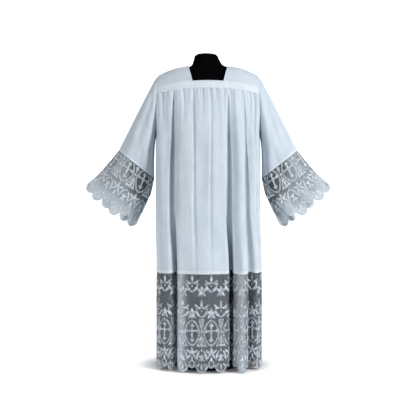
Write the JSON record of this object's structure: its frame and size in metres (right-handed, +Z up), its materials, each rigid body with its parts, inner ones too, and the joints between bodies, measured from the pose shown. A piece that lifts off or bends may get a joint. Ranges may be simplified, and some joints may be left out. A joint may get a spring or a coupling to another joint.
{
  "type": "lace alb on a display form",
  "caption": "Full-length white alb with a square neck, gathered front and back, wide sleeves and deep scalloped lace at hem and cuffs, on a black limbless display form.",
  "frame": {"origin": "centre of the base plate's underside, on the floor", "axes": "+Z up, +X to the right of someone facing the alb's front, -Y the way its front faces"},
  "size_m": [1.2346, 0.4463, 1.5563],
  "materials": {
    "cloth": "plain-woven white cotton with a faint sheen",
    "lace": "white machine-made net lace with a raised pattern",
    "form_cover": "black jersey, matte",
    "form_metal": "black powder coat"
  },
  "bodies": {
    "root": {"front_band": "cloth", "back_band": "cloth", "front_panel": "cloth", "back_panel": "cloth", "right_shoulder": "cloth", "left_shoulder": "cloth", "right_sleeve": "cloth", "left_sleeve": "cloth", "neck_binding": "cloth", "front_hem_lace": "lace", "back_hem_lace": "lace", "right_cuff_lace": "lace", "left_cuff_lace": "lace", "form_trunk": "form_cover", "form_neck_cap": "form_metal", "form_post": "form_metal", "form_base_plate": "form_metal"}
  },
  "joints": []
}
